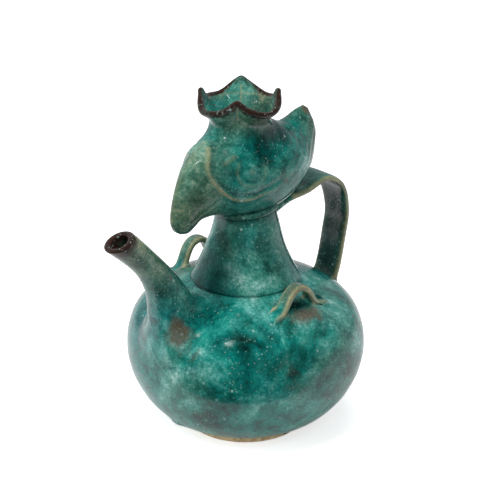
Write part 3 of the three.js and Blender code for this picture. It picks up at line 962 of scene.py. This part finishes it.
def crown_rim(p):
    gap = np.full(len(p), 1e9)
    for spot in crown_lip:
        gap = np.minimum(gap, ((p - spot) ** 2).sum(1))
    gap = np.sqrt(gap)
    inner = np.hypot(p[:, 0] - CROWN_OFFSET, p[:, 1])
    lip = np.hypot(*(crown_lip[:, :2] - [CROWN_OFFSET, 0]).T).mean()
    outward = inner > lip - 1.6
    wander = 0.35 * np.sin(p[:, 0] * 1.9) + 0.3 * np.sin(p[:, 1] * 2.7 + 1)
    return np.clip(2.7 - (gap + wander) / 1.1, 0, 1) * np.where(outward, 1.0, 0.55)


def crown_brown(p):
    collar = np.clip(1 - np.abs(p[:, 2] - 173.5) / 4.5, 0, 1) * 0.5
    return collar * (0.6 + 0.4 * np.sin(np.arctan2(p[:, 1], p[:, 0] - CROWN_OFFSET) * 2 + 0.5))


def crown_thin(p):
    angle = np.arctan2(p[:, 1], p[:, 0] - CROWN_OFFSET)
    lobe = np.abs(np.sin(2 * (angle - math.pi / 4)))
    crease = bump(lobe, 0.06) * (p[:, 2] > 178) * (p[:, 2] < 186.5)
    inner = np.hypot(p[:, 0] - CROWN_OFFSET, p[:, 1])
    line = bump(p[:, 2] - 181.2 - 1.2 * (1 - lobe), 0.5) * (inner < 19)
    return np.maximum(crease * 0.5, line * 0.25)


def spout_rim(p):
    centre = np.array([SPOUT_PATH[-1][0], 0, SPOUT_PATH[-1][1]])
    gap = np.linalg.norm(p - centre, axis=1)
    wander = 0.5 * np.sin(p[:, 1] * 1.3 + p[:, 2])
    return np.clip(3.6 - (gap + wander) / 3.1, 0, 1)


def patch(p, centre, reach):
    return np.clip(1 - np.linalg.norm((p - np.array(centre)) / np.array(reach), axis=1), 0, 1)


def spout_brown(p):
    return 1.1 * patch(p, (57, 13, 70), (13, 12, 14)) + 0.8 * patch(p, (60, 12, 80), (8, 8, 9))


def belly_brown(p):
    marks = patch(p, (57, 16, 66), (12, 12, 13)) * 1.1 + patch(p, (-50, 0, 76), (9, 16, 8)) * 0.9
    for side in (1, -1):
        marks = marks + patch(p, (1, side * 46, 77), (19, 9, 8)) * 1.3
        marks = marks + patch(p, (9, side * 34, 81), (14, 8, 7)) * 1.1
    return marks


def head_brown(p):
    crest = patch(p, (-43, 0, 170), (7, 8, 7)) * 1.3
    brow = patch(p, (24, 13, 163), (7, 6, 6)) * 0.6
    collar = bump(np.hypot(p[:, 0] - CROWN_OFFSET, p[:, 1]) - 19, 4) * (p[:, 2] > 160) * 0.35
    return crest + brow + collar


def head_thin(p):
    cheek = line_distance(CHEEK, p[:, 0], p[:, 2])[0]
    ridge = bump(cheek, 0.8) * (np.abs(p[:, 1]) > 4) * np.clip((p[:, 0] + 2) / 10, 0, 1)
    culmen = bump(p[:, 1], 1.6) * (p[:, 0] > 28) * (p[:, 2] > 128)
    brow = line_distance(BROW, p[:, 0], p[:, 2])[0]
    eye = np.hypot(p[:, 0] - EYE_CENTRE[0], p[:, 2] - EYE_CENTRE[1])
    face = 0.35 * bump(brow, 0.9) + 0.3 * bump(eye - EYE_RADIUS, 0.8) + 0.5 * bump(eye, 1.2)
    face = face * (np.abs(p[:, 1]) > 4)
    return 0.85 * ridge + 0.25 * culmen + face


def head_pool_and_shade(p):
    # Dark pools in the groove beside the cheek and in the ring inside the eye; the band along the chin is
    # painted shadow under the head, and the lower back of the head is darkened too.
    gap, side = line_distance(CHEEK, p[:, 0], p[:, 2])
    groove = bump(gap - 2.4, 0.9) * (side < 0) * np.clip(p[:, 0] / 10, 0, 1) * (np.abs(p[:, 1]) > 3)
    chin_shadow = bump(p[:, 2] - 122.5, 3.5) * (p[:, 0] < 26) * (p[:, 0] > -26) * 0.45
    nape = np.clip((-22 - p[:, 0]) / 12, 0, 1) * np.clip((150 - p[:, 2]) / 12, 0, 1) * 0.35
    eye = np.hypot(p[:, 0] - EYE_CENTRE[0], p[:, 2] - EYE_CENTRE[1])
    return 0.45 * groove + chin_shadow + nape + 0.35 * bump(eye - EYE_RADIUS + 2.4, 1.1) * (np.abs(p[:, 1]) > 4)


def head_olive(p):
    beak = np.clip((p[:, 0] - 22) / 14, 0, 1) * 0.55
    crest = np.clip((-30 - p[:, 0]) / 12, 0, 1) * 0.4
    return beak + crest


def belly_pool_and_shade(p):
    # Dark pool in the groove round the neck's foot; the patches are painted shade between the spout and the
    # neck, under both lugs and under the handle.
    seam = bump(np.hypot(p[:, 0], p[:, 1]) - 29.6, 1.1) * (p[:, 2] > 70) * 0.3
    painted_shade_patches = patch(p, (31, 0, 83), (12, 13, 8)) * 0.9
    for side in (1, -1):
        painted_shade_patches = painted_shade_patches + patch(p, (0, side * 40, 80), (9, 5, 6)) * 1.4
    return seam + painted_shade_patches + 0.5 * patch(p, (-44, 0, 80), (12, 14, 9))


def neck_pool_and_shade(p):
    # Dark pool in the groove at the neck's foot; the band under the head is painted shadow, and the side
    # facing the spout is painted shade and painted dark reflection.
    seam = bump(p[:, 2] - 84.6, 1.2) * 0.3
    shadow_under_head = bump(p[:, 2] - 122, 3.0) * 0.5
    shade_facing_spout = np.clip(p[:, 0] / np.maximum(np.hypot(p[:, 0], p[:, 1]), 1) * 3.2 - 2.1, 0, 1)
    return seam + shadow_under_head + 0.8 * shade_facing_spout * np.clip((118 - p[:, 2]) / 20, 0, 1)


def crown_inner(p):
    """One on the inside of the cup, zero on its outside."""
    share = np.clip((p[:, 2] - CROWN_BASE) / (LOBE_HEIGHT - CROWN_BASE), 0, 1)
    middle = WAIST_RADIUS + (TIP_RADIUS - WAIST_RADIUS) * share ** 1.6 - CROWN_WALL / 2
    return (np.hypot(p[:, 0] - CROWN_OFFSET, p[:, 1]) < middle).astype(float)


def crown_olive(p):
    return 0.35 * np.clip((p[:, 2] - 168) / 8, 0, 1) * (1 - crown_inner(p))


def crown_throat_shade(p):
    # Painted shade: darker further down the throat of the mouth, inside the head.
    inner = np.hypot(p[:, 0] - CROWN_OFFSET, p[:, 1])
    return np.clip((170 - p[:, 2]) / 8, 0, 1) * (inner < 14.5)


strap_line = smooth_line(STRAP_PATH, np.linspace(0, 1, 120))


def strap_inner_shade(p):
    # Painted shade on the handle's inner face, the side turned towards the neck and the belly.
    gap = np.full(len(p), 1e9)
    facing = np.zeros(len(p))
    for a, b in zip(strap_line[:-1], strap_line[1:]):
        offset = p[:, [0, 2]] - a
        reach = (offset ** 2).sum(1)
        closer = reach < gap
        gap = np.where(closer, reach, gap)
        step = (b - a) / np.linalg.norm(b - a)
        facing = np.where(closer, -step[1] * offset[:, 0] + step[0] * offset[:, 1], facing)
    return np.clip(facing / 1.2, 0, 1) * (p[:, 0] < -20) * 0.85 * np.clip(1.5 - np.abs(p[:, 1]) / 9, 0.35, 1)


def strap_brown(p):
    return 0.9 * patch(p, (-57, 0, 129), (14, 14, 9)) + 0.5 * patch(p, (-60, 0, 85), (9, 12, 14))


def strap_edges(p):
    half = np.interp(p[:, 2], [60, 95, 122, 131], [8.6, 8.6, 10.6, 10.8])
    return bump(np.abs(p[:, 1]) - half, 1.3) * (p[:, 2] > 64) * (p[:, 0] < -24)


def lug_edges(p):
    """Pale along both edges of a lug's strap, wider at its pads."""
    place = 0.5 + p[:, 0] / (1.14 * LUG_SPAN)
    half = np.array([lug_width(u) for u in place]) / 2 - 0.5
    return 0.9 * bump(np.abs(np.abs(p[:, 1]) - LUG_OFFSET) - half, 1.1) * np.clip((p[:, 2] - 77) / 3, 0, 1)


green = glaze_material("green_lead_glaze", 26.0, 0.9)
lug_marks = {
    "brown": lambda p: 0.8 * np.clip((p[:, 2] - 85) / 5, 0, 1),
    "thin": lug_edges,
    "olive": lambda p: 0.35 * np.clip((p[:, 2] - 82) / 4, 0, 1),
    # Pool mark here is painted shadow on the shoulder beside the lug's feet, low on both sides of the strap.
    "pool_and_painted_shade": lambda p: 0.5 * bump(p[:, 2] - 80.5, 2.0) * (np.abs(np.abs(p[:, 1]) - LUG_OFFSET) > 4.6),
}
glazed = {
    belly: {"brown": belly_brown, "pool_and_painted_shade": belly_pool_and_shade},
    neck: {"pool_and_painted_shade": neck_pool_and_shade},
    # The collar is darkened all round: painted shade under the overhanging head.
    collar: {"pool_and_painted_shade": lambda p: np.full(len(p), 0.4), "olive": lambda p: np.full(len(p), 0.15)},
    head: {"brown": head_brown, "thin": head_thin, "olive": head_olive, "pool_and_painted_shade": head_pool_and_shade},
    crown: {"rim": crown_rim, "brown": crown_brown, "thin": crown_thin, "pool_and_painted_shade": crown_throat_shade,
            "olive": crown_olive},
    spout: {"rim": spout_rim, "brown": spout_brown,
            "olive": lambda p: 0.55 * np.clip((p[:, 2] - 80) / 40, 0, 1)},
    handle: {"brown": strap_brown, "thin": strap_edges, "pool_and_painted_shade": strap_inner_shade,
             "olive": lambda p: np.full(len(p), 0.25)},
}
for piece in [o for o in bpy.data.objects if o.name.startswith("pinched_")]:
    glazed[piece] = lug_marks
for piece, marks in glazed.items():
    for mark in ("brown", "thin", "rim", "olive", "pool_and_painted_shade"):
        paint(piece, mark, marks.get(mark, nothing))
    piece.data.materials.clear()
    piece.data.materials.append(green)
    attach(piece, "root")
print("glazed pieces", len(glazed))

# %% [markdown]
# The clay of the foot is sandy and matt, with dark grit scattered through it.

# %% Clay


def clay_material():
    material = bpy.data.materials.new("bare_clay")
    material.use_nodes = True
    nodes, links = material.node_tree.nodes, material.node_tree.links
    shader = nodes["Principled BSDF"]
    place = nodes.new("ShaderNodeTexCoord")
    grain = nodes.new("ShaderNodeTexNoise")
    grain.inputs["Scale"].default_value = 420
    grain.inputs["Detail"].default_value = 5
    links.new(place.outputs["Object"], grain.inputs["Vector"])
    tone = nodes.new("ShaderNodeValToRGB")
    elements = tone.color_ramp.elements
    elements[0].position, elements[0].color = 0.3, (0.55, 0.36, 0.17, 1)
    elements[1].position, elements[1].color = 0.6, (0.92, 0.72, 0.44, 1)
    links.new(grain.outputs["Fac"], tone.inputs["Fac"])
    grit = nodes.new("ShaderNodeTexNoise")
    grit.inputs["Scale"].default_value = 150
    grit.inputs["Detail"].default_value = 4
    links.new(place.outputs["Object"], grit.inputs["Vector"])
    spots = nodes.new("ShaderNodeValToRGB")
    spots.color_ramp.elements[0].position = 0.58
    spots.color_ramp.elements[1].position = 0.66
    links.new(grit.outputs["Fac"], spots.inputs["Fac"])
    blend = nodes.new("ShaderNodeMix")
    blend.data_type = "RGBA"
    links.new(spots.outputs["Color"], blend.inputs["Factor"])
    links.new(tone.outputs["Color"], blend.inputs["A"])
    blend.inputs["B"].default_value = (0.05, 0.03, 0.02, 1)
    links.new(blend.outputs["Result"], shader.inputs["Base Color"])
    shader.inputs["Roughness"].default_value = 0.85
    rough = nodes.new("ShaderNodeBump")
    rough.inputs["Strength"].default_value = 0.5
    rough.inputs["Distance"].default_value = 0.0004
    links.new(grain.outputs["Fac"], rough.inputs["Height"])
    links.new(rough.outputs["Normal"], shader.inputs["Normal"])
    return material


foot.data.materials.append(clay_material())
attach(foot, "root")

# %% [markdown]
# A pale table and large soft lamps, as in a museum's studio. The table ends a hand's breadth in front of
# the ewer, so the glaze mirrors it only low on the belly. One small lamp, like a far window, leaves the
# bright glints. Table and room show white to the camera.

# %% Floor, world and lamps


TABLE_REACH = 1.0
TABLE_FRONT = 0.096


def make_floor():
    mesh = bpy.data.meshes.new("floor")
    turn = math.radians(CAMERA_TURN)
    ahead = Vector((math.cos(turn), math.sin(turn), 0))
    across = Vector((-math.sin(turn), math.cos(turn), 0)) * TABLE_REACH
    front, rear = ahead * TABLE_FRONT, ahead * -TABLE_REACH
    mesh.from_pydata([rear - across, front - across, front + across, rear + across], [], [(0, 1, 2, 3)])
    floor = bpy.data.objects.new("floor", mesh)
    floor.location.z = -0.0002
    bpy.context.scene.collection.objects.link(floor)
    material = bpy.data.materials.new("paper_floor")
    material.use_nodes = True
    nodes, links = material.node_tree.nodes, material.node_tree.links
    shader = nodes["Principled BSDF"]
    shader.inputs["Base Color"].default_value = (0.9, 0.9, 0.9, 1)
    shader.inputs["Roughness"].default_value = 0.9
    path = nodes.new("ShaderNodeLightPath")
    glow = nodes.new("ShaderNodeEmission")
    glow.inputs["Color"].default_value = (1, 1, 1, 1)
    glow.inputs["Strength"].default_value = 0.6
    both = nodes.new("ShaderNodeAddShader")
    choose = nodes.new("ShaderNodeMixShader")
    links.new(shader.outputs["BSDF"], both.inputs[0])
    links.new(glow.outputs["Emission"], both.inputs[1])
    links.new(path.outputs["Is Camera Ray"], choose.inputs["Fac"])
    links.new(shader.outputs["BSDF"], choose.inputs[1])
    links.new(both.outputs["Shader"], choose.inputs[2])
    links.new(choose.outputs["Shader"], nodes["Material Output"].inputs["Surface"])
    mesh.materials.append(material)
    return floor


def make_world():
    world = bpy.data.worlds.new("studio")
    world.use_nodes = True
    nodes, links = world.node_tree.nodes, world.node_tree.links
    room = nodes["Background"]
    room.inputs["Strength"].default_value = 1.0
    place = nodes.new("ShaderNodeTexCoord")
    facing = nodes.new("ShaderNodeVectorMath")
    facing.operation = "DOT_PRODUCT"
    facing.inputs[1].default_value = (-0.55, -0.62, -0.56)
    links.new(place.outputs["Generated"], facing.inputs[0])
    tone = nodes.new("ShaderNodeValToRGB")
    tone.color_ramp.interpolation = "EASE"
    stops = tone.color_ramp.elements
    stops[0].position, stops[0].color = 0.30, (0.05, 0.05, 0.055, 1)
    stops[1].position, stops[1].color = 0.66, (0.38, 0.40, 0.42, 1)
    shift = nodes.new("ShaderNodeMath")
    shift.operation = "MULTIPLY_ADD"
    shift.inputs[1].default_value = 0.5
    shift.inputs[2].default_value = 0.5
    links.new(facing.outputs["Value"], shift.inputs[0])
    links.new(shift.outputs[0], tone.inputs["Fac"])
    links.new(tone.outputs["Color"], room.inputs["Color"])
    seen = nodes.new("ShaderNodeBackground")
    seen.inputs["Color"].default_value = (1, 1, 1, 1)
    seen.inputs["Strength"].default_value = 1.0
    path = nodes.new("ShaderNodeLightPath")
    choose = nodes.new("ShaderNodeMixShader")
    links.new(path.outputs["Is Camera Ray"], choose.inputs["Fac"])
    links.new(room.outputs["Background"], choose.inputs[1])
    links.new(seen.outputs["Background"], choose.inputs[2])
    links.new(choose.outputs["Shader"], nodes["World Output"].inputs["Surface"])
    bpy.context.scene.world = world


def soft_lamp(name, place, size, power, mirrored=True):
    data = bpy.data.lights.new(name, "AREA")
    data.shape = "RECTANGLE"
    data.size, data.size_y = size
    data.energy = power
    lamp = bpy.data.objects.new(name, data)
    lamp.location = place
    lamp.visible_glossy = mirrored
    aim = Vector((0, 0, 0.09)) - Vector(place)
    lamp.rotation_euler = aim.to_track_quat("-Z", "Y").to_euler()
    bpy.context.scene.collection.objects.link(lamp)
    return lamp


floor = make_floor()
make_world()
soft_lamp("left_box", (1.1, -0.1, 0.8), (0.7, 0.9), 10, mirrored=False)
soft_lamp("front_box", (0.5, 1.1, 0.9), (0.8, 0.8), 9, mirrored=False)
soft_lamp("top_box", (0.1, 0.0, 1.3), (0.9, 0.9), 11, mirrored=False)
soft_lamp("window_light", (0.75, 0.35, 1.25), (0.07, 0.16), 1.0)

# %% [markdown]
# Last, the colour view is set to Standard.

# %% Colour view


bpy.context.scene.view_settings.view_transform = "Standard"
